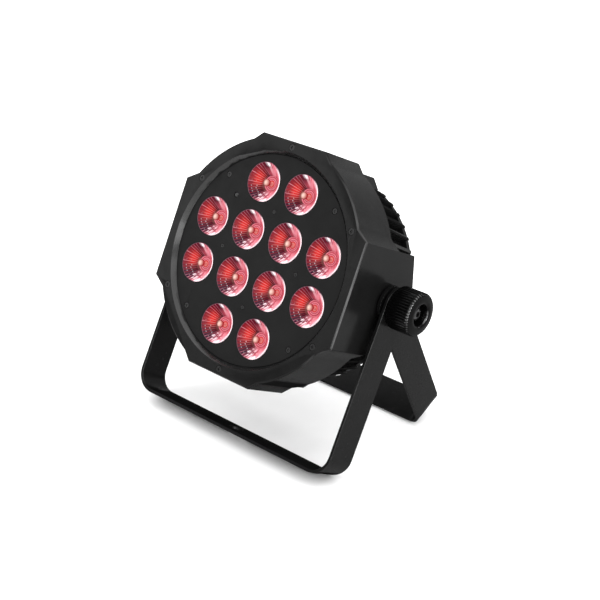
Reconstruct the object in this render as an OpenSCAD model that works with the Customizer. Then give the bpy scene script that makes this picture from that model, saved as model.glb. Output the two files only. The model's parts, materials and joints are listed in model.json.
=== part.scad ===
// Flat par can: twelve lens stage wash light on a double yoke.
// Frame: X along the tilt axis, -Y to the front, Z up, feet at Z = 0.

/* [Stance] */
// Angle of the lens face above horizontal
head_tilt = 28.5; // [0:0.5:60]
// Lean of the front yoke forward from vertical
front_lean = 30.2; // [20:0.1:35]

/* [Lamp head] */
// Distance between neighbouring lenses
lens_pitch = 45; // [44:0.5:46]
// Clear radius of each lens
lens_r = 18.3; // [16:0.1:18.6]
// Radius of the round part of the case
case_r = 111.6; // [111:0.1:113]
// Centre to the top and bottom flats of the case
case_half_h = 109.8; // [109.5:0.1:110.5]
// Centre to the side flats of the case
case_half_w = 109.5; // [109:0.1:110]
// Depth of the front case behind the lens plate face
case_depth = 47.2; // [46:0.1:50]
// How far the bezel stands in front of the lens plate
bezel_rise = 4.5; // [3:0.1:6]
// Depth of the whole head behind the lens plate face
head_depth = 103.5; // [102:0.5:106]
// Tilt axis behind the lens plate face
pivot_depth = 52.6; // [52:0.1:54]
// Tilt axis above the lens centre
pivot_rise = 2.2; // [0:0.1:4]

/* [Cooling fins] */
// Number of fins around the rear case
fin_count = 48; // [40:4:52]
// Thickness of each fin
fin_t = 3; // [2:0.1:4]

/* [Yokes] */
// Width of both yoke straps
strap_w = 33; // [30:0.5:34]
// Thickness of both yoke straps
strap_t = 3; // [2.5:0.1:3]
// Gap between neighbouring straps and the case ears
strap_gap = 3; // [3:0.1:3.4]
// Tilt axis to the outside of the front yoke's bar
front_drop = 163.4; // [162:0.1:170]
// Tilt axis to the outside of the rear yoke's bar
rear_drop = 156.9; // [156:0.1:158]
// Outer bend radius of the front yoke
front_bend = 20; // [18:0.5:22]
// Outer bend radius of the rear yoke
rear_bend = 14; // [10:0.5:14]
// Radius of the hanging hole in each bar
hang_hole_r = 6.5; // [5:0.5:6.5]

/* [Knobs] */
// Radius of the knob over its knurl
knob_r = 19.8; // [18:0.1:22]
// Length of the right knob along its axis
knob_len = 25; // [20:0.5:26]
// Length of the left knob along its axis
left_knob_len = 18.5; // [18:0.5:26]
// Number of knurl ridges
knurl_count = 48; // [36:4:60]

/* [Hidden] */
$fn = 96;
eps = 0.01;
gap = 0.3;
fit = 0.05;

// Stance: both bars stand on Z = 0, so the rear yoke's lean follows from the front yoke's.
pivot_h = front_drop * cos(front_lean) + strap_w / 2 * sin(front_lean);
rear_corner_r = norm([rear_drop, strap_w / 2]);
rear_lean = acos(pivot_h / rear_corner_r) + atan(strap_w / 2 / rear_drop);

// Case
wall = 3.2;
edge_bevel = 1.4;
top_lug_half = 37.4;
side_lug_half = 47.8;
bevel_r = 99.7;
plate_r = 96;
plate_t = 2;
ledge_t = 2;
bezel_screw_r = 104.2;
ledge_r = 92;
plate_screw_r = 2 * lens_pitch;
plate_post_end = 16;
plate_head_r = 2.5;
board_head_r = 1.8;
ir_r = 2.5;
ear_t = 3.6;
ear_depth = 72;
ear_nose_depth = 85.5;
ear_nose_half = 20.5;
boss_r = 13;
boss_inner_x = 93.5;
insert_r = 6;

// Rear case
tube_r = 91;
tube_wall = 2.5;
flange_y = case_depth + gap;
flange_t = 3;
flange_r = 105;
fin_front_r = 105;
fin_rear_r = 98.1;
fin_end = head_depth - 1;
rim_r = 96.6;
cover_r = 86;
cover_t = 2.5;
cover_y = head_depth - 0.2 - cover_t;
rear_lug_flat = 102.4;
rear_lug_depth = 76.5;

// Optics and light engine
holder_wall = 1.2;
board_y = 21;
board_r = 88;
board_t = 1.6;
pad_t = 0.5;
sink_y = board_y + board_t + pad_t;
sink_base_t = 5;
sink_plate_y = 44.4;
psu_y = 56;
lens_cells = [for (row = [3, 1, -1, -3], col = [-3, -1, 1, 3])
    if (abs(row * col) < 9) [col, row] * lens_pitch / 2];

// Strap stack along X, from the ear outwards
ear_x = case_half_w;
rear_inner_x = ear_x + strap_gap;
front_inner_x = rear_inner_x + strap_t + strap_gap;
front_outer_x = front_inner_x + strap_t;
clamp_washer_t = 1.6;
knob_x = front_outer_x + gap + clamp_washer_t;
washer_r = 12;
bolt_r = 4;
bolt_hole_r = bolt_r + 2 * fit;
bolt_end_x = 97;
recess_r = 9.5;
recess_depth = 9;

// Back panel layout, as X and Z on the cover
socket_z = -30;
socket_xs = [-54, -18, 18, 54];
socket_cut_r = 12;
socket_depth = 22;
flange_w = 26;
flange_h = 31;
flange_screw = [9.5, -12];
cavity_floor = 3;
dmx_cavity_r = 9.6;
dmx_insert_r = 8;
mains_cavity_r = 10.9;
mains_post_r = 4;
latch_z = 13.4;
socket_face_y = head_depth - 0.2;
display_z = 36;
display_w = 52;
display_h = 20;
button_z = 12;
button_xs = [-30, -10, 10, 30];
button_r = 4;
eye_z = 68;
eye_hole_r = 5.5;
eye_tab_y = 8;
eye_tab_r = 8.5;
eye_t = 3;
eye_screw_x = 9;
cover_screw_r = 82;

// Front and back extremes of the head set where the origin falls along Y.
function world_y(y, z) = (y - pivot_depth) * cos(head_tilt) + (z - pivot_rise) * sin(head_tilt);
front_extreme = world_y(-bezel_rise, -case_half_h + edge_bevel);
rear_extreme = world_y(socket_face_y + eye_tab_y, eye_z) + eye_tab_r;
origin_shift = -(front_extreme + rear_extreme) / 2;
// The left knob is the shorter, so the middle of the overall width lies right of the case's middle.
origin_x = (left_knob_len - knob_len) / 2;

// ---------- Placing helpers ----------

// Puts a shape drawn in the head's own frame (lens plate face at y = 0) in its place.
module in_head() {
    translate([origin_x, origin_shift, pivot_h]) rotate([-head_tilt, 0, 0])
        translate([0, -pivot_depth, -pivot_rise]) children();
}

// Puts a shape drawn about the tilt axis in its place, leaning by the given angle.
module in_yoke(lean) {
    translate([origin_x, origin_shift, pivot_h]) rotate([-lean, 0, 0]) children();
}

// Extrudes a shape drawn in X and Z from y0 back to y1.
module slab(y0, y1) {
    translate([0, y1, 0]) rotate([90, 0, 0]) linear_extrude(y1 - y0) children();
}

// Turns an outline of [radius, y] points about the Y axis.
module turned(points) {
    rotate([90, 0, 0]) rotate_extrude() polygon([for (p = points) [p[0], -p[1]]]);
}

module rod_x(r, x0, x1) {
    translate([x0, 0, 0]) rotate([0, 90, 0]) cylinder(r = r, h = x1 - x0);
}

module at_pivot() {
    translate([0, pivot_depth, pivot_rise]) children();
}

module around(count, r, start = 0) {
    for (i = [0:count - 1]) {
        a = start + i * 360 / count;
        translate([r * cos(a), 0, r * sin(a)]) children();
    }
}

module at_lenses() {
    for (c = lens_cells) translate([c[0], 0, c[1]]) children();
}

// Countersunk or pan screw whose head starts at y = 0 and whose shank runs back along +Y.
module pan_screw(head_r, head_t, shank_r, length) {
    difference() {
        union() {
            slab(0, head_t) circle(head_r);
            slab(head_t - eps, length) circle(shank_r);
        }
        for (a = [0, 90]) rotate([0, a, 0]) slab(-1, head_t * 0.6)
            square([head_r * 1.1, head_r * 0.28], center = true);
    }
}

// ---------- Case outline ----------

// One flat lug: a face at distance flat, half wide, whose shoulders fall by drop over run.
module lug(flat, half, run, drop, inset = 0) {
    h = half - 0.4 * inset;
    f = flat - inset;
    polygon([[-h, f], [h, f], [h + run, f - drop], [-h - run, f - drop]]);
}

module top_lug(inset = 0) {
    lug(case_half_h, top_lug_half, 13.2, 12.4, inset);
}

module side_lug(inset = 0) {
    lug(case_half_w, side_lug_half, 8.9, 14.3, inset);
}

// The circle cut off at the flats, without the lugs' shoulders.
module cut_circle(inset = 0) {
    intersection() {
        circle(case_r - inset);
        square(2 * [case_half_w - inset, case_half_h - inset], center = true);
    }
}

module case_outline(inset = 0) {
    cut_circle(inset);
    for (s = [0, 1]) rotate(180 * s) {
        top_lug(inset);
        rotate(90) side_lug(inset);
    }
}

// The case's front edge, bevelled all the way round.
module bevelled_front() {
    y0 = -bezel_rise;
    y1 = -bezel_rise + edge_bevel;
    intersection() {
        turned([[0, y0], [case_r - edge_bevel, y0], [case_r, y1], [0, y1]]);
        hull() {
            slab(y0, y0 + eps)
                square(2 * [case_half_w - edge_bevel, case_half_h - edge_bevel], center = true);
            slab(y1 - eps, y1) square(2 * [case_half_w, case_half_h], center = true);
        }
    }
    for (turn = [0, 90, 180, 270]) rotate([0, turn, 0]) hull() {
        slab(y0, y0 + eps) {
            if (turn % 180 == 0) top_lug(edge_bevel);
            else side_lug(edge_bevel);
        }
        slab(y1 - eps, y1) {
            if (turn % 180 == 0) top_lug();
            else side_lug();
        }
    }
}

// ---------- Head: case ----------

module ear(side) {
    outline = [[case_depth - eps, side_lug_half], [ear_depth, side_lug_half],
        [ear_nose_depth, ear_nose_half], [ear_nose_depth, -ear_nose_half],
        [ear_depth, -side_lug_half], [case_depth - eps, -side_lug_half]];
    x0 = side > 0 ? ear_x - ear_t : -ear_x;
    translate([x0, 0, 0]) rotate([90, 0, 90]) linear_extrude(ear_t) polygon(outline);
}

// Bezel ring, ledge behind the lens plate and side wall, open to the back.
module case_shell() {
    difference() {
        union() {
            bevelled_front();
            slab(-bezel_rise + edge_bevel - eps, case_depth) case_outline();
        }
        slab(plate_t + ledge_t, case_depth + 1) case_outline(wall);
        turned([[0, -bezel_rise - 1], [bevel_r + 1, -bezel_rise - 1], [bevel_r, -bezel_rise],
            [plate_r + gap, 0], [plate_r + gap, plate_t], [0, plate_t]]);
        slab(plate_t - 1, plate_t + ledge_t + 1) circle(ledge_r);
    }
}

module front_housing() {
    color("#2b2b2d") in_head() difference() {
        union() {
            case_shell();
            for (s = [-1, 1]) ear(s);
            at_pivot() {
                rod_x(boss_r, boss_inner_x, ear_x - eps);
                rod_x(boss_r, -ear_x + eps, -boss_inner_x);
            }
            around(6, bezel_screw_r, 30) slab(plate_t, sink_plate_y - gap) circle(4);
            around(4, plate_screw_r, 45) slab(plate_t, plate_post_end) circle(4.5);
        }
        at_pivot() rod_x(insert_r, -130, 130);
        around(4, plate_screw_r, 45) slab(plate_t - 1, plate_post_end + 1) circle(1.7);
        around(6, bezel_screw_r, 30) {
            slab(-bezel_rise - 1, -bezel_rise + 1.8) circle(3.4);
            slab(-bezel_rise, case_depth) circle(1.8);
        }
    }
}

module lens_plate() {
    color("#1c1c1d") in_head() difference() {
        slab(0, plate_t) circle(plate_r);
        at_lenses() slab(-1, plate_t + 1) circle(lens_r + 0.3);
        around(4, plate_screw_r, 45) {
            slab(-1, plate_t + 1) circle(1.8);
            slab(-1, 1.1) circle(plate_head_r + 0.5);
        }
        around(4, lens_pitch) {
            slab(-1, plate_t + 1) circle(1.4);
            slab(-1, 1) circle(board_head_r + 0.3);
        }
        ir_place() slab(-1, plate_t + 1) circle(ir_r + 0.1);
    }
}

module ir_place() {
    translate([-1.07 * lens_pitch, 0, 1.07 * lens_pitch]) children();
}

module ir_window() {
    color("#0d0d10") in_head() ir_place()
        turned([[0, 0.1], [1.6, 0.2], [ir_r, 0.7], [ir_r, plate_t + 1], [0, plate_t + 1]]);
}

// ---------- Head: optics ----------

// Collimator lens: rim, central dome in a dish, retaining flange and cone down to the LED.
module lens(i) {
    c = lens_cells[i];
    color([0.75, 0.25, 0.3, 0.8]) in_head() translate([c[0], 0, c[1]])
        turned([[0, 0.6], [2.5, 0.9], [4.6, 2.2], [5.6, 3.6], [lens_r - 1.4, -0.2], [lens_r, -0.2],
            [lens_r, 2.3], [lens_r + 0.9, 2.3], [lens_r + 0.9, 3.8], [17, 3.8], [7, 18.5],
            [4, 18.5], [3.6, 12], [0, 11]]);
}

module lens_holders() {
    color("#161616") in_head() at_lenses()
        turned([[17.6, 4.1], [19.4, 4.1], [19.4, 5.4], [7.4 + holder_wall, 20.7],
            [7.4, 20.7], [7.4, 19.2]]);
}

module led_emitters() {
    color("#f0d9a0") in_head() at_lenses() {
        slab(board_y - 1.2, board_y) square(7, center = true);
        slab(board_y - 2, board_y - 1.2 + eps) circle(2.4);
    }
}

module led_board() {
    color("#e8e8e4") in_head() difference() {
        slab(board_y, board_y + board_t) circle(board_r);
        around(4, lens_pitch) slab(board_y - 1, board_y + board_t + 1) circle(1.4);
        around(4, plate_screw_r - 6, 45) slab(board_y - 1, board_y + board_t + 1) circle(6);
    }
}

module thermal_pad() {
    color("#8aa0b0") in_head() difference() {
        slab(board_y + board_t, sink_y) circle(board_r - 2);
        around(4, lens_pitch) slab(board_y, sink_y + 1) circle(1.6);
        around(4, plate_screw_r - 6, 45) slab(board_y, sink_y + 1) circle(7);
    }
}

// Pedestal with straight fins on a mounting plate that the two case halves clamp.
module heat_sink() {
    fin_xs = [-70:14:70];
    color("#b8bcc0") in_head() difference() {
        union() {
            slab(sink_y, sink_y + sink_base_t) circle(board_r);
            for (x = fin_xs) slab(sink_y + sink_base_t - eps, sink_plate_y + eps)
                translate([x, 0]) square([2.4, 2 * sqrt(board_r ^ 2 - x ^ 2) - 6], center = true);
            slab(sink_plate_y, case_depth) intersection() {
                case_outline(wall + gap);
                circle(107.5);
            }
        }
        for (s = [-1, 1]) translate([s * 108, pivot_depth, pivot_rise])
            cube([34, 40, 2 * boss_r + 4], center = true);
        around(6, bezel_screw_r, 30) slab(sink_plate_y - 1, case_depth + 1) circle(1.9);
        around(4, lens_pitch) slab(sink_y - 1, sink_y + sink_base_t + 1) circle(1.25);
        slab(sink_plate_y - 1, case_depth + 1) for (x = [-35, 35]) translate([x, 0])
            square([20, 90], center = true);
    }
}

// ---------- Head: rear case ----------

module rear_lug() {
    lug(rear_lug_flat, top_lug_half, 9, 9.5);
}

module fins() {
    for (i = [0:fin_count - 1]) {
        a = i * 360 / fin_count;
        beside_boss = abs(sin(a)) * tube_r < boss_r + 4;
        y0 = beside_boss ? pivot_depth + boss_r + 2 : flange_y + 1;
        r0 = fin_front_r + (fin_rear_r - fin_front_r) * (y0 - flange_y) / (fin_end - flange_y);
        rotate([0, -a, 0]) translate([0, 0, -fin_t / 2]) linear_extrude(fin_t)
            polygon([[tube_r - 1, y0], [r0, y0], [fin_rear_r, fin_end], [tube_r - 1, fin_end]]);
    }
}

module rear_housing() {
    color("#242426") in_head() difference() {
        union() {
            slab(flange_y, head_depth - 4) circle(tube_r);
            slab(flange_y, flange_y + flange_t) circle(flange_r);
            around(6, bezel_screw_r, 30) slab(flange_y, flange_y + 6) circle(4.4);
            fins();
            slab(head_depth - 5, head_depth) circle(rim_r);
            for (s = [0, 180]) rotate([0, s, 0]) slab(flange_y, rear_lug_depth) rear_lug();
        }
        slab(flange_y - 1, head_depth - 7) circle(tube_r - tube_wall);
        slab(head_depth - 8, head_depth + 1) circle(cover_r - 5);
        slab(cover_y - gap, head_depth + 1) circle(cover_r + gap);
        around(6, bezel_screw_r, 30) slab(flange_y - 1, flange_y + 7) circle(1.7);
        around(6, cover_screw_r + 1.3, 0) slab(cover_y - 6, cover_y) circle(1.2);
        for (s = [-1, 1]) translate([s * 108, pivot_depth, pivot_rise])
            cube([33, 2 * boss_r + 3, 2 * boss_r + 3], center = true);
    }
}

// ---------- Head: back panel ----------

module display_place() {
    translate([0, 0, display_z]) children();
}

module back_cover() {
    color("#232325") in_head() difference() {
        slab(cover_y, cover_y + cover_t) circle(cover_r);
        for (x = socket_xs) translate([x, 0, socket_z]) {
            slab(cover_y - 1, head_depth + 1) circle(socket_cut_r + 0.2);
            at_flange_screws() slab(cover_y - 1, head_depth + 1) circle(1.3);
        }
        display_place() slab(cover_y - 1, head_depth + 1)
            square([display_w, display_h], center = true);
        for (x = button_xs) translate([x, 0, button_z])
            slab(cover_y - 1, head_depth + 1) circle(button_r + 0.35);
        around(6, cover_screw_r + 1.3, 0) slab(cover_y - 1, head_depth + 1) circle(1.6);
        for (x = [-eye_screw_x, eye_screw_x]) translate([x, 0, eye_z])
            slab(cover_y - 1, head_depth + 1) circle(1.5);
        at_socket(3) latch_pocket(cover_y - 1);
    }
}

module display() {
    color("#101418") in_head() display_place()
        slab(cover_y - 6, cover_y - 0.6) square([display_w + 6, display_h + 4], center = true);
}

module display_window() {
    color([0.1, 0.12, 0.14, 0.6]) in_head() display_place()
        slab(cover_y - 0.4, cover_y + cover_t - 0.4)
            square([display_w - 0.4, display_h - 0.4], center = true);
}

module button(i) {
    color("#3a3a3c") in_head() translate([button_xs[i], 0, button_z])
        turned([[0, socket_face_y + 1.8], [button_r - 0.7, socket_face_y + 1.8],
            [button_r, socket_face_y + 1.1], [button_r, cover_y - 0.8], [button_r + 1, cover_y - 0.8],
            [button_r + 1, cover_y - 2], [0, cover_y - 2]]);
}

module button_switches() {
    color("#c0c0c0") in_head() for (x = button_xs) translate([x, 0, button_z]) {
        slab(cover_y - 7, cover_y - 3.6) square(6, center = true);
        slab(cover_y - 3.6 - eps, cover_y - 3) circle(1.7);
    }
}

module control_board() {
    color("#1f5c3a") in_head() translate([0, 0, 28])
        slab(cover_y - 8.6, cover_y - 7) square([84, 56], center = true);
}

module psu_board() {
    color("#2a6a3c") in_head() slab(psu_y, psu_y + board_t) square([120, 84], center = true);
}

module transformer() {
    color("#c9b458") in_head() translate([-28, 0, 14]) {
        slab(psu_y + board_t, 60) square([34, 30], center = true);
        slab(60 - eps, 76) square([28, 22], center = true);
        slab(76 - eps, 78) square([34, 30], center = true);
    }
}

module capacitors() {
    color("#20304a") in_head() for (x = [14, 34, 50]) translate([x, 0, 22])
        slab(psu_y + board_t, 78) circle(x == 14 ? 9 : 6);
}

module at_socket(i) {
    translate([socket_xs[i], 0, socket_z]) children();
}

module at_flange_screws() {
    for (s = [-1, 1]) translate([s * flange_screw[0], 0, s * flange_screw[1]]) children();
}

// Panel socket body with a flange, its cavity open to the back.
module socket_body(cavity_r) {
    difference() {
        union() {
            slab(socket_face_y, socket_face_y + 2) square([flange_w, flange_h], center = true);
            slab(socket_face_y - socket_depth, socket_face_y + eps) circle(socket_cut_r);
        }
        slab(socket_face_y - socket_depth + cavity_floor, socket_face_y + 3) circle(cavity_r);
        at_flange_screws() slab(socket_face_y - 1, socket_face_y + 3) circle(1.6);
    }
}

module dmx_in() {
    color("#2f2f33") in_head() at_socket(2) socket_body(dmx_cavity_r);
}

module dmx_in_pins() {
    color("gold") in_head() at_socket(2) for (a = [0, 120, 240])
        translate([6 * cos(a + 90), 0, 6 * sin(a + 90)])
            slab(socket_face_y - socket_depth + cavity_floor, socket_face_y - 3) circle(1.2);
}

module latch_pocket(y0) {
    translate([0, 0, latch_z]) slab(y0, socket_face_y + 3) square([7.4, 3.8], center = true);
}

module dmx_out() {
    color("#2f2f33") in_head() at_socket(3) difference() {
        socket_body(dmx_cavity_r);
        latch_pocket(socket_face_y - 5);
    }
}

module dmx_latch() {
    color("#8f9296") in_head() at_socket(3) translate([0, 0, latch_z])
        slab(socket_face_y - 2.5, socket_face_y + 4.5) square([6.6, 3], center = true);
}

// Three-hole insert of the data output, and the post of each mains socket.
module socket_inserts() {
    y0 = socket_face_y - socket_depth + cavity_floor;
    color("#1d1d1f") in_head() {
        at_socket(3) difference() {
            slab(y0, socket_face_y - 1) circle(dmx_insert_r);
            for (a = [0, 120, 240]) translate([5 * cos(a - 90), 0, 5 * sin(a - 90)])
                slab(socket_face_y - 16, socket_face_y) circle(1.3);
        }
        for (i = [0, 1]) at_socket(i) slab(y0, socket_face_y - 2) circle(mains_post_r);
    }
}

// Locking mains socket with a wide round cavity.
module power_in() {
    color("#2c4f8f") in_head() at_socket(0) socket_body(mains_cavity_r);
}

module power_out() {
    color("#9a9c9f") in_head() at_socket(1) socket_body(mains_cavity_r);
}

// Flat contacts standing around each mains socket's post.
module power_contacts() {
    color("#c8a24a") in_head() for (i = [0, 1], a = [0, 120, 240]) at_socket(i)
        rotate([0, a, 0]) translate([0, 0, mains_post_r + 0.5])
            slab(socket_face_y - socket_depth + cavity_floor, socket_face_y - 4)
                square([2, 0.8], center = true);
}

// ---------- Head: fasteners ----------

module bezel_screws() {
    color("#3c3c3e") in_head() around(6, bezel_screw_r, 30)
        translate([0, -bezel_rise + 0.2, 0]) pan_screw(3, 1.5, 1.6, bezel_rise + flange_y + 5);
}

module plate_screws() {
    color("#3c3c3e") in_head() around(4, plate_screw_r, 45)
        translate([0, 0.1, 0]) pan_screw(plate_head_r, 1, 1.6, 12.5);
}

module board_screws() {
    color("#3c3c3e") in_head() around(4, lens_pitch)
        translate([0, 0.1, 0]) pan_screw(board_head_r, 0.9, 1.2, sink_y + 4);
}

module cover_screws() {
    color("#3c3c3e") in_head() around(6, cover_screw_r + 1.3, 0)
        translate([0, socket_face_y + 1.4, 0]) rotate([180, 0, 0]) pan_screw(2.6, 1.4, 1.2, 8);
}

module socket_screws() {
    color("#3c3c3e") in_head() for (i = [0:3]) at_socket(i) at_flange_screws()
        translate([0, socket_face_y + 3.2, 0]) rotate([180, 0, 0]) pan_screw(2.4, 1.2, 1.2, 8);
}

module standoffs() {
    color("silver") in_head() for (x = [-37, 37], z = [6, 50]) translate([x, 0, z])
        slab(cover_y - 7, cover_y) circle(2.4);
    color("silver") in_head() for (x = [-54, 54], z = [-36, 36]) translate([x, 0, z])
        slab(case_depth, psu_y) circle(2.4);
}

module pivot_insert(side) {
    x0 = side > 0 ? boss_inner_x + 1 : -ear_x;
    x1 = side > 0 ? ear_x : -boss_inner_x - 1;
    color("#c9a94e") in_head() at_pivot() difference() {
        rod_x(insert_r, x0, x1);
        rod_x(bolt_r + fit, x0 - 1, x1 + 1);
    }
}

// Bent bracket whose upright tab takes the safety cable's hook.
module safety_eye() {
    color("#9fa2a6") in_head() translate([0, 0, eye_z]) difference() {
        union() {
            slab(socket_face_y, socket_face_y + 1.5) square([26, 12], center = true);
            translate([-eye_t / 2, 0, 0]) rotate([90, 0, 90]) linear_extrude(eye_t) {
                translate([socket_face_y + eye_tab_y, 0]) circle(eye_tab_r);
                translate([socket_face_y, -6]) square([eye_tab_y, 12]);
            }
        }
        translate([0, socket_face_y + eye_tab_y, 0]) rod_x(eye_hole_r, -5, 5);
        slab(socket_face_y - 20, socket_face_y) square(40, center = true);
        for (x = [-eye_screw_x, eye_screw_x]) translate([x, 0, 0])
            slab(socket_face_y - 1, socket_face_y + 3) circle(1.5);
    }
}

// ---------- Washers ----------

module washer_pair(x0, x1) {
    for (s = [-1, 1]) difference() {
        rod_x(washer_r, s > 0 ? x0 : -x1, s > 0 ? x1 : -x0);
        rod_x(bolt_hole_r, s > 0 ? x0 - 1 : -x1 - 1, s > 0 ? x1 + 1 : -x0 + 1);
    }
}

module head_washers() {
    color("#111112") in_head() at_pivot() washer_pair(ear_x, rear_inner_x - gap);
}

module yoke_washers() {
    color("#111112") in_yoke(front_lean) washer_pair(front_inner_x - strap_gap + gap, front_inner_x);
}

module clamp_washer(side) {
    x0 = side > 0 ? front_outer_x + gap : -knob_x;
    color("#55585c") in_yoke(front_lean) difference() {
        rod_x(washer_r + 1, x0, x0 + clamp_washer_t);
        rod_x(bolt_hole_r, x0 - 1, x0 + clamp_washer_t + 1);
    }
}

// ---------- Yokes ----------

// Area inside a U whose bottom corners are rounded, open past the arms' top.
module u_area(half, drop, bend) {
    top = strap_w;
    translate([-half, -drop + bend]) square([2 * half, drop - bend + top]);
    translate([-half + bend, -drop]) square([2 * (half - bend), bend + 1]);
    for (s = [-1, 1]) translate([s * (half - bend), -drop + bend]) circle(bend);
}

module yoke(inner_half, drop, bend) {
    outer_half = inner_half + strap_t;
    difference() {
        intersection() {
            slab(-strap_w / 2, strap_w / 2) difference() {
                u_area(outer_half, drop, bend);
                u_area(inner_half, drop - strap_t, bend - strap_t);
            }
            union() {
                rod_x(strap_w / 2, -outer_half - 1, outer_half + 1);
                translate([-outer_half - 1, -strap_w / 2 - 1, -drop - 1])
                    cube([2 * outer_half + 2, strap_w + 2, drop + 1]);
            }
        }
        rod_x(bolt_hole_r, -outer_half - 1, outer_half + 1);
        translate([0, 0, -drop - 1]) cylinder(r = hang_hole_r, h = strap_t + 2);
    }
}

module front_yoke() {
    color("#262628") in_yoke(front_lean) yoke(front_inner_x, front_drop, front_bend);
}

module rear_yoke() {
    color("#262628") in_yoke(-rear_lean) yoke(rear_inner_x, rear_drop, rear_bend);
}

// ---------- Knobs ----------

// Fine knurl: one shallow groove between each pair of ridges.
module knurl_outline() {
    polygon([for (i = [0:2 * knurl_count - 1])
        (knob_r - (i % 2) * 0.7) * [cos(i * 180 / knurl_count), sin(i * 180 / knurl_count)]]);
}

// Knob about the Z axis, its inner end at z = 0, with a recess for the bolt head.
module knob_shape(length) {
    difference() {
        union() {
            cylinder(r = knob_r - 2.6, h = 1.2);
            translate([0, 0, 1.2 - eps]) linear_extrude(length - 4.2 + eps) knurl_outline();
            translate([0, 0, length - 3 - eps]) rotate_extrude() {
                square([knob_r - 3.5, 3 + eps]);
                intersection() {
                    translate([knob_r - 3.5, 0]) circle(3);
                    translate([knob_r - 3.6, 0]) square([4, 3 + eps]);
                }
            }
        }
        translate([0, 0, -1]) cylinder(r = bolt_r + fit, h = length + 2);
        translate([0, 0, length - recess_depth]) cylinder(r = recess_r, h = recess_depth + 1);
    }
}

function knob_length(side) = side > 0 ? knob_len : left_knob_len;

module knob_place(side) {
    in_yoke(front_lean) translate([side * knob_x, 0, 0]) rotate([0, side * 90, 0]) children();
}

module knob(side) {
    color("#151516") knob_place(side) knob_shape(knob_length(side));
}

// Button-head bolt whose head lies in the knob's recess and whose shank ends inside the case ear.
module knob_bolt(side) {
    head_z = knob_length(side) - recess_depth;
    end_z = bolt_end_x - knob_x;
    color("#1b1b1c") knob_place(side) difference() {
        union() {
            translate([0, 0, head_z]) rotate_extrude()
                polygon([[0, 0], [7.4, 0], [7.4, 1], [7, 2.3], [6, 3.5], [4.6, 4.4], [2.8, 4.9], [0, 5]]);
            translate([0, 0, end_z]) cylinder(r = bolt_r, h = head_z + 1 - end_z);
        }
        translate([0, 0, head_z + 2.4]) cylinder(r = 2.8, h = 4, $fn = 6);
    }
}

// ---------- Nodes ----------

front_housing();
lens_plate();
ir_window();
lens(0);  // lens_01
lens(1);  // lens_02
lens(2);  // lens_03
lens(3);  // lens_04
lens(4);  // lens_05
lens(5);  // lens_06
lens(6);  // lens_07
lens(7);  // lens_08
lens(8);  // lens_09
lens(9);  // lens_10
lens(10);  // lens_11
lens(11);  // lens_12
lens_holders();
led_emitters();
led_board();
thermal_pad();
heat_sink();
rear_housing();
back_cover();
psu_board();
transformer();
capacitors();
control_board();
display();
display_window();
button(0);  // button_menu
button(1);  // button_down
button(2);  // button_up
button(3);  // button_enter
button_switches();
dmx_in();
dmx_in_pins();
dmx_out();
dmx_latch();
power_in();
power_out();
socket_inserts();
power_contacts();
bezel_screws();
plate_screws();
board_screws();
cover_screws();
socket_screws();
standoffs();
pivot_insert(-1);  // pivot_insert_left
pivot_insert(1);  // pivot_insert_right
safety_eye();
head_washers();
front_yoke();
rear_yoke();
yoke_washers();
clamp_washer(-1);  // clamp_washer_left
clamp_washer(1);  // clamp_washer_right
knob(-1);  // knob_left
knob(1);  // knob_right
knob_bolt(-1);  // knob_bolt_left
knob_bolt(1);  // knob_bolt_right
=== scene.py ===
import json
import math

import bmesh
import bpy
import numpy as np
from mathutils import Matrix, Vector

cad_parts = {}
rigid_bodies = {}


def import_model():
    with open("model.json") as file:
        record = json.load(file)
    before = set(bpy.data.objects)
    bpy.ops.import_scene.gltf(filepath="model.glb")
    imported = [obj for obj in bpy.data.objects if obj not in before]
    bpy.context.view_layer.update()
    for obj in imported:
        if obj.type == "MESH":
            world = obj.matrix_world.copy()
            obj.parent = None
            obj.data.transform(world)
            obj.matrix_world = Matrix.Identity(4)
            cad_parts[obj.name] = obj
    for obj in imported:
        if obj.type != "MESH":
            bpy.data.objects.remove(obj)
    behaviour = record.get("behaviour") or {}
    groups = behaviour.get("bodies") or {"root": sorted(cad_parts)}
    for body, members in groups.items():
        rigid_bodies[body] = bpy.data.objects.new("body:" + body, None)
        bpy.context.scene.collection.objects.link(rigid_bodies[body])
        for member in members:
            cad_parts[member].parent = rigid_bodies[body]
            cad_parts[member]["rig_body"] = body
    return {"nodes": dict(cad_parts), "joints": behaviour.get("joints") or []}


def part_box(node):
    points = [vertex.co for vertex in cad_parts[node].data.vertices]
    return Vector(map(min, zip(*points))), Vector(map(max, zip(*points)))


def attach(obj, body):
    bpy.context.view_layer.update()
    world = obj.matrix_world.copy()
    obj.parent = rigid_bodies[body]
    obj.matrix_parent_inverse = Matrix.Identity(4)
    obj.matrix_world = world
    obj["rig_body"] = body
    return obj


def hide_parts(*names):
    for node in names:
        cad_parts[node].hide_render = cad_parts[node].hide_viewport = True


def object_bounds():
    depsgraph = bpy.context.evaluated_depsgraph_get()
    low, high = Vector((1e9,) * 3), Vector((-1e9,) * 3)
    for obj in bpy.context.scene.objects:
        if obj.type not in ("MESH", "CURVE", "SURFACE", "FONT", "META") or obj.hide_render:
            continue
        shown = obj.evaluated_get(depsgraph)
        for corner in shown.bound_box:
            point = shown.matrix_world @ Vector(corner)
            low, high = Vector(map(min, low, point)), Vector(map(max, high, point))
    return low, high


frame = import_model()
CAD_LOW, CAD_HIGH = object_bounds()
SLOTS = {name: thing.data.materials[0].name for name, thing in frame["nodes"].items()}

MM = 0.001


# ---------- The frame's own places ----------

def joint(name):
    return next(j for j in frame["joints"] if j["name"] == name)


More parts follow.
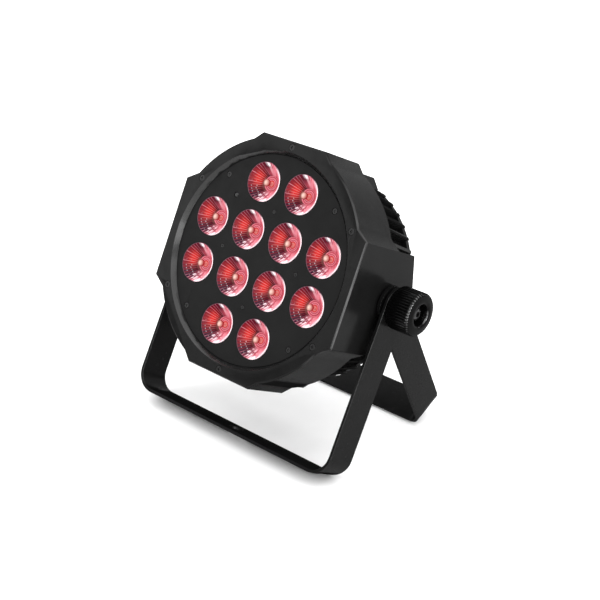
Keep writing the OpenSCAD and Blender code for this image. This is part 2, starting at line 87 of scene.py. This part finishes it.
# The tilt axis, and the head's own axes: X across, UP up the lens face, OUT out of it.
PIVOT = Vector(joint("head_tilt")["pos_m"])
ACROSS = Vector((1, 0, 0))
OUT = Vector(joint("menu_key_press")["axis"]).normalized()
UP = OUT.cross(ACROSS)


def spans(node, axes, origin):
    """Lowest and highest coordinate of a node along each of three axes, from an origin."""
    points = np.array([v.co for v in frame["nodes"][node].data.vertices]) - np.array(origin)
    along = points @ np.array(axes).T
    return along.min(0), along.max(0)


def basis(x, y, z, origin):
    """The matrix that takes local x, y and z to these directions, with its origin there."""
    matrix = Matrix((x, y, z)).transposed().to_4x4()
    matrix.translation = origin
    return matrix


PLATE_LOW, PLATE_HIGH = spans("lens_plate", (ACROSS, UP, OUT), PIVOT)
FACE_CENTRE = PIVOT + UP * (PLATE_LOW[1] + PLATE_HIGH[1]) / 2 + OUT * PLATE_HIGH[2]
HEAD = basis(ACROSS, UP, OUT, FACE_CENTRE)
LENSES = [f"lens_{i:02d}" for i in range(1, 13)]


def lens_place(node):
    """The lens's centre on the plate face, as a matrix whose z points out of the lens."""
    low, high = spans(node, (ACROSS, UP, OUT), FACE_CENTRE)
    return HEAD @ Matrix.Translation(((low[0] + high[0]) / 2, (low[1] + high[1]) / 2, 0))


# ---------- Mesh building ----------

WELD = 1e-6  # metres between corners that are one
FLAT_ANGLE = 0.6  # degrees between faces that are one flat
EDGE_ANGLE = 30  # degrees between faces that meet at an edge
SMOOTH_ANGLE = 50  # degrees up to which the lenses and knobs look smooth


def new_piece(name, mesh, body):
    piece = bpy.data.objects.new(name, mesh)
    bpy.context.scene.collection.objects.link(piece)
    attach(piece, body)
    return piece


def smooth(mesh, degrees):
    mesh.shade_smooth()
    mesh.set_sharp_from_angle(angle=math.radians(degrees))


def turns(count):
    """The angles of a number of even steps round a circle."""
    return [2 * math.pi * k / count for k in range(count)]


def joined(bm, rings):
    """Faces between each ring of vertices and the next."""
    for low, high in zip(rings, rings[1:]):
        for k in range(len(low)):
            n = (k + 1) % len(low)
            bm.faces.new((low[k], low[n], high[n], high[k]))


def finished(bm, name):
    mesh = bpy.data.meshes.new(name)
    bm.to_mesh(mesh)
    bm.free()
    return mesh


def softened(node, width):
    """A copy of a CAD node's shape with its sharp edges rounded, which stands for the node."""
    cad = frame["nodes"][node]
    bm = bmesh.new()
    bm.from_mesh(cad.data)
    bmesh.ops.remove_doubles(bm, verts=bm.verts, dist=WELD)
    bmesh.ops.dissolve_limit(bm, angle_limit=math.radians(FLAT_ANGLE), verts=bm.verts, edges=bm.edges)
    mesh = finished(bm, node + "_soft")
    mesh.materials.append(cad.data.materials[0])
    smooth(mesh, EDGE_ANGLE)
    piece = new_piece(node + "_soft", mesh, cad["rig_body"])
    rounding = piece.modifiers.new("rounded edges", "BEVEL")
    rounding.width = width
    rounding.segments = 2
    rounding.limit_method = "ANGLE"
    rounding.angle_limit = math.radians(EDGE_ANGLE)
    rounding.harden_normals = True
    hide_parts(node)


# ---------- Materials ----------

SLOPE_BLUR = 0.02
BEVEL_SLOPE = (0.54, 0.66)  # cosines of the bezel's inner bevel to the way out of the lens face
PATCHES, SMEARS = 40, 120  # noise scales of the colour and the gloss
GLOSS_SWING = 0.05


class Graph:
    """A material whose nodes are chained by short calls."""

    def __init__(self, name):
        self.material = bpy.data.materials.new(name)
        self.material.use_nodes = True
        self.nodes = self.material.node_tree.nodes
        self.links = self.material.node_tree.links
        self.shader = self.nodes["Principled BSDF"]
        self.coordinates = self.nodes.new("ShaderNodeTexCoord")

    def node(self, kind, **values):
        made = self.nodes.new(kind)
        for key, value in values.items():
            setattr(made, key, value)
        return made

    def join(self, source, socket):
        self.links.new(source, socket)

    def noise(self, scale, detail=3.0, roughness=0.5):
        made = self.node("ShaderNodeTexNoise")
        made.inputs["Scale"].default_value = scale
        made.inputs["Detail"].default_value = detail
        made.inputs["Roughness"].default_value = roughness
        self.join(self.coordinates.outputs["Object"], made.inputs["Vector"])
        return made.outputs["Fac"]

    def ramp(self, source, first, last, start, end):
        """Maps the range from first to last to the one from start to end."""
        made = self.node("ShaderNodeMapRange")
        made.inputs["From Min"].default_value = first
        made.inputs["From Max"].default_value = last
        made.inputs["To Min"].default_value = start
        made.inputs["To Max"].default_value = end
        self.join(source, made.inputs["Value"])
        return made.outputs[0]

    def spread(self, source, low, high):
        """Maps a noise's usual range to another."""
        return self.ramp(source, 0.3, 0.7, low, high)

    def math(self, operation, first, second):
        made = self.node("ShaderNodeMath", operation=operation)
        self.join(first, made.inputs[0])
        self.join(second, made.inputs[1])
        return made.outputs[0]

    def fading(self, spark, shine):
        """A gloss that is spark where the surface faces the eye, then shine, and none at a slant."""
        weight = self.node("ShaderNodeLayerWeight")
        weight.inputs["Blend"].default_value = 0.5
        facing = weight.outputs["Facing"]
        return self.math("MULTIPLY", self.ramp(facing, 0.03, 0.17, spark, shine),
                         self.ramp(facing, 0.3, 0.8, 1, 0))

    def on_slope(self, low, high, level):
        """A value for only the surfaces whose slope to the lit front is between two cosines."""
        slope = self.node("ShaderNodeVectorMath", operation="DOT_PRODUCT")
        self.join(self.coordinates.outputs["Normal"], slope.inputs[0])
        slope.inputs[1].default_value = OUT
        slope = slope.outputs["Value"]
        return self.math("MULTIPLY", self.ramp(slope, low - SLOPE_BLUR, low, 0, level),
                         self.ramp(slope, high, high + SLOPE_BLUR, 1, 0))

    def blend(self, source, first, second):
        made = self.node("ShaderNodeMix", data_type="RGBA")
        self.join(source, made.inputs["Factor"])
        made.inputs["A"].default_value = (*first, 1)
        made.inputs["B"].default_value = (*second, 1)
        return made.outputs["Result"]

    def bump(self, source, depth):
        made = self.node("ShaderNodeBump")
        made.inputs["Distance"].default_value = depth
        self.join(source, made.inputs["Height"])
        self.join(made.outputs[0], self.shader.inputs["Normal"])

    def set(self, **values):
        for key, value in values.items():
            self.shader.inputs[key.replace("_", " ")].default_value = value


def finish_of(name, dark, light, rough, grain, depth, shine=0.5, spark=0.5, metal=0.0, bevel=0.0):
    """A moulded, painted or metal surface: patchy colour, uneven gloss and a fine grain.
    Its gloss is shine, spark where it faces the eye, and bevel on the bezel's inner bevel."""
    g = Graph(name)
    g.set(Metallic=metal)
    level = g.fading(spark, shine)
    if bevel:
        level = g.math("MAXIMUM", level, g.on_slope(*BEVEL_SLOPE, bevel))
    g.join(level, g.shader.inputs["Specular IOR Level"])
    g.join(g.blend(g.spread(g.noise(PATCHES), 0, 1), dark, light), g.shader.inputs["Base Color"])
    uneven = g.spread(g.noise(SMEARS, 4), rough - GLOSS_SWING, rough + GLOSS_SWING)
    g.join(uneven, g.shader.inputs["Roughness"])
    g.bump(g.noise(grain, 2, 0.6), depth)
    return g.material


def grey(value):
    return (value, value, value)


# What finish_of takes for each material slot of the record.
FINISHES = {
    "case_black": (grey(0.0058), grey(0.0075), 0.22, 1900, 0.00002, 0.06, 0.5, 0, 0.4),
    "plate_black": (grey(0.0065), grey(0.0085), 0.46, 2300, 0.00003, 0.06, 0.06),
    "fin_black": (grey(0.0055), grey(0.007), 0.28, 1500, 0.00003, 0.06, 0.4),
    "cover_black": (grey(0.008), grey(0.01), 0.48, 2100, 0.00004, 0.1, 0.1),
    "yoke_black": (grey(0.0044), grey(0.0056), 0.24, 1300, 0.00003, 0.05, 0.8),
    "knob_black": (grey(0.0012), grey(0.0018), 0.12, 2600, 0.00001, 0.04, 1),
    "washer_black": (grey(0.005), grey(0.007), 0.5, 1800, 0.00003, 0.08, 0.2),
    "socket_black": (grey(0.012), grey(0.016), 0.4, 2400, 0.00002, 0.2, 0.4),
    "screw_black": (grey(0.006), grey(0.009), 0.2, 3000, 0.00001, 0.12, 1),
    "bolt_black": (grey(0.012), grey(0.02), 0.12, 2600, 0.00001, 0.5, 0.5, 0.6),
    "insert_black": (grey(0.01), grey(0.014), 0.5, 2400, 0.00002),
    "steel": (grey(0.42), grey(0.52), 0.3, 2800, 0.00001, 0.5, 0.5, 1),
    "brass": ((0.6, 0.42, 0.16), (0.7, 0.5, 0.2), 0.3, 2600, 0.00001, 0.5, 0.5, 1),
    "sink_aluminium": (grey(0.6), grey(0.7), 0.36, 1800, 0.00002, 0.5, 0.5, 1),
    "holder_black": (grey(0.012), grey(0.016), 0.5, 2200, 0.00002),
    "socket_blue": ((0.02, 0.07, 0.3), (0.03, 0.09, 0.36), 0.42, 2200, 0.00002),
    "socket_grey": (grey(0.3), grey(0.36), 0.45, 2200, 0.00002),
    "key_grey": (grey(0.05), grey(0.065), 0.5, 2400, 0.00002),
    "switch_grey": (grey(0.4), grey(0.5), 0.4, 2000, 0.00002),
    "display_dark": (grey(0.003), grey(0.005), 0.16, 2000, 0.00001, 0.2, 0.4),
    "window_smoke": ((0.006, 0.003, 0.004), (0.009, 0.004, 0.005), 0.08, 900, 0.00001),
    "contact_gold": ((0.75, 0.5, 0.17), (0.85, 0.58, 0.22), 0.25, 2500, 0.00001, 0.5, 0.5, 1),
    "board_white": (grey(0.7), grey(0.78), 0.4, 1500, 0.00002),
    "board_green": ((0.01, 0.10, 0.04), (0.015, 0.14, 0.055), 0.4, 1500, 0.00002),
    "pad_blue": ((0.22, 0.33, 0.45), (0.28, 0.4, 0.52), 0.7, 1500, 0.00003),
    "coil_yellow": ((0.6, 0.42, 0.05), (0.7, 0.5, 0.08), 0.45, 1500, 0.00003),
    "can_blue": ((0.01, 0.03, 0.09), (0.02, 0.045, 0.12), 0.3, 1500, 0.00002),
    "led_yellow": ((0.75, 0.55, 0.12), (0.85, 0.66, 0.2), 0.35, 2500, 0.00002),
}


# ---------- Studio ----------

WORLD_LIGHT = 0.3
SKY_DISTANCE = 3
FLOOR_RADII = (9.0, 3.0, 1.2, 0.5)
FLOOR_SIDES = 64


def aimed(thing, place, target):
    thing.location = place
    thing.rotation_mode = "QUATERNION"
    thing.rotation_quaternion = (target - place).to_track_quat("-Z", "Y")


def around_point(centre, azimuth, elevation, distance):
    """A point seen from the centre at an azimuth (0 in front, 90 to the right) and elevation."""
    a, e = math.radians(azimuth), math.radians(elevation)
    return centre + distance * Vector((math.sin(a) * math.cos(e), -math.cos(a) * math.cos(e),
                                       math.sin(e)))


def lit(light, name, azimuth, elevation, distance):
    thing = bpy.data.objects.new(name, light)
    bpy.context.scene.collection.objects.link(thing)
    aimed(thing, around_point(PIVOT, azimuth, elevation, distance), PIVOT)


def softbox(name, azimuth, elevation, distance, width, height, power):
    light = bpy.data.lights.new(name, "AREA")
    light.shape = "RECTANGLE"
    light.size = width
    light.size_y = height
    light.energy = power
    lit(light, name, azimuth, elevation, distance)


def skylight(name, azimuth, elevation, spread, strength):
    """A broad even light from one part of the sky, which falls off nowhere."""
    light = bpy.data.lights.new(name, "SUN")
    light.angle = math.radians(spread)
    light.energy = strength
    lit(light, name, azimuth, elevation, SKY_DISTANCE)


def studio():
    scene = bpy.context.scene
    scene.view_settings.view_transform = "Standard"
    world = bpy.data.worlds.new("studio")
    scene.world = world
    world.use_nodes = True
    background = world.node_tree.nodes["Background"]
    background.inputs["Color"].default_value = (1, 1, 1, 1)
    background.inputs["Strength"].default_value = WORLD_LIGHT
    skylight("ceiling", 150, 80, 120, 5.5)
    softbox("front_left", -48, 22, 1.7, 0.9, 0.7, 8)
    softbox("back_wall", 180, 14, 1.8, 2.2, 0.9, 5)
    softbox("edge_right", 62, 12, 1.7, 0.9, 0.6, 8)
    softbox("spark_right", 85, 12, 1.5, 0.1, 0.1, 3)
    softbox("spark_back", 150, 13, 1.5, 0.1, 0.1, 3)
    bm = bmesh.new()
    rings = [[bm.verts.new((r * math.cos(a), r * math.sin(a), 0)) for a in turns(FLOOR_SIDES)]
             for r in FLOOR_RADII]
    joined(bm, rings)
    bm.faces.new(rings[-1])
    mesh = finished(bm, "floor")
    floor = bpy.data.objects.new("floor", mesh)
    scene.collection.objects.link(floor)
    floor.location.z = CAD_LOW.z
    mesh.materials.append(finish_of("floor_paper", grey(0.85), grey(0.87), 0.8, 300, 0.00002, 0.1))


LENS_LENGTH = 82.8
AZIMUTH, ELEVATION, ROLL = 42.067, 27.335, 0.17
DISTANCE = 1277.2 * MM
LOOKED_AT = PIVOT + Vector((12.555, -5.44, -29.064)) * MM


def camera():
    """The photograph's view: 42 degrees round to the right, 27 degrees above the horizon."""
    data = bpy.data.cameras.new("camera")
    data.lens = LENS_LENGTH
    data.sensor_width = 36
    data.clip_start, data.clip_end = 0.05, 60
    thing = bpy.data.objects.new("camera", data)
    bpy.context.scene.collection.objects.link(thing)
    aimed(thing, around_point(LOOKED_AT, AZIMUTH, ELEVATION, DISTANCE), LOOKED_AT)
    roll = Matrix.Rotation(math.radians(-ROLL), 3, "Z").to_quaternion()
    thing.rotation_quaternion = thing.rotation_quaternion @ roll
    bpy.context.scene.camera = thing


# ---------- Lenses ----------

# Sizes of a lens in mm. Points are (radius, height over the face).
FLUTES = 36
FLUTE_STEPS = 8
FLUTE_DEPTH = 0.5
BOWL_BANDS = 30
BOWL_TOP = (17.6, -0.15)
BOWL_FOOT = (7.6, -11.6)
BOWL_CURVE = 1.12
RIM = [(18.25, -1.5), (18.25, 0.0), (18.1, 0.18), (17.85, 0.18), BOWL_TOP]

# Colours of a lit lens, from its painted red glow through painted shade to its painted white highlights.
# Angles on a lens are in degrees:
# 0 is to its right, 90 up the face.
# painted red glow of the lit emitter
PAINTED_GLOW = (0.5, 0.014, 0.012)
CORAL = (0.6, 0.22, 0.2)
RED = (0.22, 0.002, 0.006)
# painted shade in the channels and painted dark reflections
SHADOW_WINE = (0.045, 0.0015, 0.008)
SHADOW_PLUM = (0.025, 0.003, 0.014)
SHADE = (0.1, 0.04, 0.055)
ROSE = (0.2, 0.05, 0.07)
PINK = (0.55, 0.1, 0.14)
BLUSH = (0.66, 0.24, 0.29)
# painted light on the lit side
LIT_PALE = (0.92, 0.72, 0.76)
# painted white highlights
HIGHLIGHT_WHITE = (0.9, 0.84, 0.89)
PEACH = (0.6, 0.4, 0.34)
# painted shadow at the bowl's foot and the dome's far side
SHADOW_UMBER = (0.2, 0.09, 0.075)

# (radius, height, colour) of the rings on the bowl's floor and of the stem, in mm, and the dome's
# (radius, height).
# The glow colour on the floor rings and the stem is a painted glow.
FLOOR_RINGS = [(7.4, -11.3, PINK), (7.0, -11.9, BLUSH), (6.6, -12.1, PINK), (6.3, -12.35, RED),
               (6.0, -12.1, PINK), (5.7, -12.1, PINK), (5.1, -12.0, BLUSH), (4.8, -12.1, PINK),
               (4.5, -12.35, RED), (4.2, -12.1, PINK), (3.9, -12.0, BLUSH), (3.4, -12.0, PINK),
               (3.1, -12.3, PAINTED_GLOW), (1.2, -12.3, CORAL)]
STEM = [(1.0, -11.0, CORAL), (1.0, -7.2, PAINTED_GLOW), (2.4, -6.6, RED)]
DOME = [(3.3, -6.2), (3.5, -5.6), (3.45, -5.0), (3.2, -4.3), (2.7, -3.7), (2.0, -3.3), (1.1, -3.05),
        (0.3, -3.0)]


# (direction, reach either side) of each patch of colour on a lens, in degrees. Most are painted light:
# painted glow, painted shade, painted highlights, painted reflections and painted light on the lit side.
PAINTED_GLOW_SIDE = (178, 104)
GLOW_RED_CHANNELS = (165, 62)
PAINTED_GLOW_SPOT = (172, 36)
GLOW_CORAL_RIBS = (178, 50)
DUSKY_RIBS = (65, 40)
SHADED_FOOT = (195, 60)
PINK_FEET = ((85, 42), (282, 44))
TOP_HIGHLIGHT = (98, 11)
LOW_HIGHLIGHT = (288, 14)
PAINTED_VEIL = (112, 26)
REFLECTION_STREAKS = (264, 36)
HIGHLIGHT_SPECKS = (222, 44)
LIT_SIDE = (5, 66)
LIT_RIMS = ((5, 55), (303, 30))
SHADED_DOME_SIDE = (180, 90)


def mixed(first, second, share):
    share = min(1, max(0, share))
    return tuple(a + (b - a) * share for a, b in zip(first, second))


def near(value, centre, width):
    """1 at the centre, falling to 0 a width away from it."""
    return max(0.0, 1 - ((value - centre) / width) ** 2)


def arc(degrees, patch):
    """1 in a patch's direction, falling to 0 at its reach on either side."""
    direction, reach = patch
    return near((degrees - direction + 180) % 360 - 180, 0, reach)


def chance(k):
    """A repeatable value from 0 to 1 for each number."""
    return (math.sin(k * 12.9898 + 4.1) * 43758.5453) % 1


def bowl_colour_and_light(t, degrees, groove, flute):
    """The bowl's colour at a share of the way up its wall, with painted light in it: a painted red glow
    at one side with painted plum shade around it, painted shade in the flutes' channels, painted light
    making the other side pink and pale, and broken painted white highlights and painted reflections near
    the lip.
    groove is 0 on a flute's ridges and 1 in its channel."""
    luck = chance(flute)
    band = chance(flute * 7 + int(t * 11))
    # Share of the side with the painted glow.
    left = min(1, 1.9 * arc(degrees, PAINTED_GLOW_SIDE))
    channel = mixed(PINK, mixed(SHADOW_WINE, SHADOW_PLUM, 1.3 * t - 0.5 + 0.6 * luck), left)
    channel = mixed(channel, RED, arc(degrees, GLOW_RED_CHANNELS) * near(t, 0.6, 0.55))
    channel = mixed(channel, PAINTED_GLOW, arc(degrees, PAINTED_GLOW_SPOT) * near(t, 0.4, 0.36))
    # Ridges turn pale towards the lip with painted light.
    ridge = mixed(mixed(BLUSH, LIT_PALE, t), mixed(ROSE, BLUSH, luck), left)
    ridge = mixed(ridge, RED, left * (luck < 0.35))
    ridge = mixed(ridge, CORAL, 0.9 * arc(degrees, GLOW_CORAL_RIBS) * near(t, 0.4, 0.45))
    ridge = mixed(ridge, ROSE, 0.8 * arc(degrees, DUSKY_RIBS) * (luck < 0.5))
    # Channels take the darker colours: painted shade in the flutes' creases.
    colour = mixed(ridge, channel, 2 * groove ** 0.7)
    # Painted shadow at the foot on the glow's side.
    colour = mixed(colour, SHADOW_UMBER, 0.6 * arc(degrees, SHADED_FOOT) * near(t, 0.0, 0.2))
    foot = max(arc(degrees, patch) for patch in PINK_FEET)
    colour = mixed(colour, BLUSH if luck > 0.4 else PINK, 0.9 * foot * near(t, 0.25, 0.45))
    # Painted white highlights near the lip.
    highlight = max(0.8 * arc(degrees, TOP_HIGHLIGHT), arc(degrees, LOW_HIGHLIGHT))
    highlight *= min(1, max(0, (t - 0.66) * 6))
    colour = mixed(colour, HIGHLIGHT_WHITE, 1.2 * highlight * (0.3 + 0.9 * luck))
    # A painted veil of light and shade.
    painted_veil = arc(degrees, PAINTED_VEIL) * near(t, 0.6, 0.4)
    colour = mixed(colour, LIT_PALE if luck > 0.55 else SHADOW_PLUM, 0.6 * painted_veil * (1 - 0.5 * groove))
    # Painted reflections: broken white and plum streaks.
    reflection_streak = arc(degrees, REFLECTION_STREAKS) * near(t, 0.5, 0.45)
    broken = HIGHLIGHT_WHITE if luck > 0.45 and band > 0.4 else SHADOW_PLUM
    colour = mixed(colour, broken, 1.1 * reflection_streak * (1 - groove) ** 0.5)
    # Painted highlight specks in the channels.
    highlight_speck = arc(degrees, HIGHLIGHT_SPECKS) * max(near(t, 0.5 + 0.2 * luck, 0.02), near(t, 0.82, 0.02))
    colour = mixed(colour, HIGHLIGHT_WHITE, 0.75 * highlight_speck * near(groove, 0.9, 0.15) * (band > 0.35))
    # Painted light on the lit side near the lip.
    return mixed(colour, LIT_PALE, arc(degrees, LIT_SIDE) * max(0, 2.4 * t - 0.7))


def rim_light_and_shade(degrees):
    """The rim has painted light on its lit side and painted shade round the glow."""
    return mixed(SHADE, LIT_PALE, 1.2 * max(arc(degrees, patch) for patch in LIT_RIMS))


def dome_colour_and_shade(r, degrees):
    """The dome is pale at its middle and turns red towards its edge, with painted shade in brown on the
    side away from the light.
    """
    share = r / DOME[1][0]
    return mixed(mixed(PEACH, RED, share ** 1.6), SHADOW_UMBER, 1.1 * arc(degrees, SHADED_DOME_SIDE) * share)


def bowl_rows():
    """(radius, height, flute depth, colour) of each ring down the bowl's wall, in mm."""
    rows = []
    for i in range(BOWL_BANDS + 1):
        t = 1 - i / BOWL_BANDS
        r = BOWL_FOOT[0] + (BOWL_TOP[0] - BOWL_FOOT[0]) * t
        z = BOWL_FOOT[1] + (BOWL_TOP[1] - BOWL_FOOT[1]) * t ** BOWL_CURVE
        depth = FLUTE_DEPTH * min(1, (1 - t) * 12) * (0.4 + 0.6 * t)
        rows.append((r, z, depth, lambda r, *where, t=t: bowl_colour_and_light(t, *where)))
    return rows


def lens_rows():
    """(radius, height, flute depth, colour) of each ring of a lens, from its outer edge to its dome.
    A colour is a function of radius, angle, groove and flute."""
    rows = [(r, z, 0, lambda r, degrees, *flute: rim_light_and_shade(degrees)) for r, z in RIM[:-1]]
    rows += bowl_rows()
    rows += [(r, z, 0, lambda *where, colour=colour: colour) for r, z, colour in FLOOR_RINGS + STEM]
    return rows + [(r, z, 0, lambda r, degrees, *flute: dome_colour_and_shade(r, degrees)) for r, z in DOME]


def lens_mesh():
    """One collimator lens about z, its face at z = 0, in metres: rim, fluted bowl, rings and dome."""
    bm = bmesh.new()
    tint_with_light = bm.verts.layers.float_color.new("tint_with_light")
    rings = []
    for r, z, depth, colour in lens_rows():
        ring = []
        for k, a in enumerate(turns(FLUTES * FLUTE_STEPS)):
            groove = 1 - (2 * (k % FLUTE_STEPS) / FLUTE_STEPS - 1) ** 2
            v = bm.verts.new(Vector((r * math.cos(a), r * math.sin(a), z - depth * groove)) * MM)
            v[tint_with_light] = (*colour(r, math.degrees(a), groove, k // FLUTE_STEPS), 1)
            ring.append(v)
        rings.append(ring)
    joined(bm, rings)
    bm.faces.new(rings[-1])
    mesh = finished(bm, "lens")
    smooth(mesh, SMOOTH_ANGLE)
    return mesh


def lens_material():
    """Red-lit plastic over a fluted wall. Its colour, with its painted glow, painted shade and painted
    highlights, comes from the mesh.
    """
    g = Graph("lens_clear")
    tint_with_light = g.node("ShaderNodeAttribute", attribute_name="tint_with_light").outputs["Color"]
    g.join(tint_with_light, g.shader.inputs["Base Color"])
    # The mesh colour also lights the lens as emission, so its painted glow and painted highlights glow.
    g.join(tint_with_light, g.shader.inputs["Emission Color"])
    g.set(Specular_IOR_Level=0.15, Emission_Strength=0.2)
    g.join(g.spread(g.noise(700, 3), 0.14, 0.26), g.shader.inputs["Roughness"])
    return g.material


def lenses():
    mesh = lens_mesh()
    mesh.materials.append(lens_material())
    for node in LENSES:
        piece = new_piece(node + "_optic", mesh, "head")
        piece.matrix_world = lens_place(node)
        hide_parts(node)


# ---------- Knobs ----------

# Sizes of a knob in mm.
RIDGES = 48
RIDGE_STEPS = 8
RIDGE_DEPTH = 1.0
KNOB_BASE_R = 6.0
KNOB_BORE_R = 4.2
ROUND_R, ROUND_H = 2.2, 1.8  # rounding of the inner end
HEAD_LENGTH = 4.2
FILLET = 3.0
DISH_DEPTH = 9.0
# How far inward and below the outer end each ring of the rim and the recess is.
DISH = [(4.2, 0.5), (5.6, 0.08), (7.2, 0), (8.6, 0.15), (9.6, 0.7), (10.1, 1.8), (10.4, 5.0),
        (10.7, 8.6), (11.3, 8.95)]


def knob_profile(radius, length):
    """(radius, height, share of the ridge depth) from the inner face round the outside to the recess."""
    profile = [(KNOB_BASE_R, 0.0, 0), (radius - ROUND_R, 0.0, 0)]
    for i in range(1, 7):
        a = math.pi / 2 * i / 6
        profile.append((radius - ROUND_R + ROUND_R * math.sin(a),
                        ROUND_H - ROUND_H * math.cos(a), i / 6))
    body_end = length - HEAD_LENGTH
    profile += [(radius, ROUND_H + (body_end - ROUND_H) * i / 8, 1) for i in range(1, 9)]
    for i in range(1, 10):
        a = math.pi / 2 * i / 9
        profile.append((radius - FILLET + FILLET * math.cos(a),
                        body_end + FILLET * 1.15 * math.sin(a), max(0, 1 - i / 8)))
    profile += [(radius - inward, length - below, 0) for inward, below in DISH]
    return profile + [(KNOB_BORE_R, length - DISH_DEPTH, 0)]


def knob_mesh(radius, length):
    """A ridged clamping knob about z from its inner end at z = 0, with a dished recess."""
    bm = bmesh.new()
    angles = turns(RIDGES * RIDGE_STEPS)
    rings = []
    for r, z, share in knob_profile(radius, length):
        ring = []
        for k, a in enumerate(angles):
            dip = RIDGE_DEPTH * share * abs(math.sin(math.pi * k / RIDGE_STEPS)) ** 0.9
            corner = Vector(((r - dip) * math.cos(a), (r - dip) * math.sin(a), z)) * MM
            ring.append(bm.verts.new(corner))
        rings.append(ring)
    bore = KNOB_BORE_R * MM
    rings.append([bm.verts.new((bore * math.cos(a), bore * math.sin(a), 0.0)) for a in angles])
    rings.append(rings[0])
    joined(bm, rings)
    bmesh.ops.recalc_face_normals(bm, faces=bm.faces)
    mesh = finished(bm, "knob")
    smooth(mesh, SMOOTH_ANGLE)
    return mesh


def knobs(material):
    for side, name in ((-1, "left"), (1, "right")):
        node = "knob_" + name
        low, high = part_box(node)
        mesh = knob_mesh((high.y - low.y) / 2 / MM, (high.x - low.x) / MM)
        mesh.materials.append(material)
        piece = new_piece(node + "_grip", mesh, node)
        inner_end = (low + high) / 2
        inner_end.x = low.x if side > 0 else high.x
        piece.matrix_world = basis(Vector((0, 0, -side)), Vector((0, 1, 0)), Vector((side, 0, 0)),
                                   inner_end)
        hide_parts(node)


# ---------- Assembly ----------

# Rounding of each visible CAD shape's edges, in metres.
EDGES = {"front_housing": 0.0014, "lens_plate": 0.0002, "rear_housing": 0.0003, "back_cover": 0.0003,
         "front_yoke": 0.0012, "rear_yoke": 0.0012, "dmx_in": 0.0003, "dmx_out": 0.0003,
         "power_in": 0.0003, "power_out": 0.0003, "safety_eye": 0.0003, "dmx_latch": 0.0003,
         "clamp_washer_left": 0.0003, "clamp_washer_right": 0.0003, "knob_bolt_left": 0.0006,
         "knob_bolt_right": 0.0006, "head_washers": 0.0003, "yoke_washers": 0.0003}


def dress(materials):
    """Gives every CAD node the finish of its slot in the record."""
    for name, thing in frame["nodes"].items():
        if SLOTS[name] in materials:
            thing.data.materials.clear()
            thing.data.materials.append(materials[SLOTS[name]])


camera()
studio()
MATERIALS = {name: finish_of(name, *values) for name, values in FINISHES.items()}
dress(MATERIALS)
for name, width in EDGES.items():
    softened(name, width)
lenses()
knobs(MATERIALS["knob_black"])
